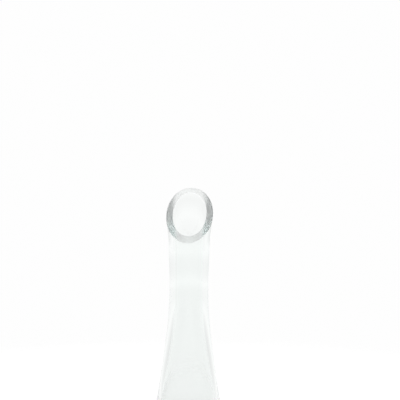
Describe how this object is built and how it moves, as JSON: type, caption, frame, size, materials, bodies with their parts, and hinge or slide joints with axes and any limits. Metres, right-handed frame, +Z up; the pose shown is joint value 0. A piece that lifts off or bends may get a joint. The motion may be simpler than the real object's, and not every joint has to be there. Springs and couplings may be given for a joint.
{
  "type": "bud vase",
  "caption": "Slender clear glass bud vase: a heavy rounded foot, a body that narrows to a long neck, and a flared mouth cut off at a slant to hold a flower stem.",
  "frame": {"origin": "on the vase's axis, at the level of the surface that it stands on", "axes": "+Z up along the axis, -Y towards the mouth's low side and +Y towards its high side"},
  "size_m": [0.056, 0.056, 0.2191],
  "materials": {
    "clear_glass": "polished"
  },
  "bodies": {
    "root": {"vase": "clear_glass"}
  },
  "joints": []
}
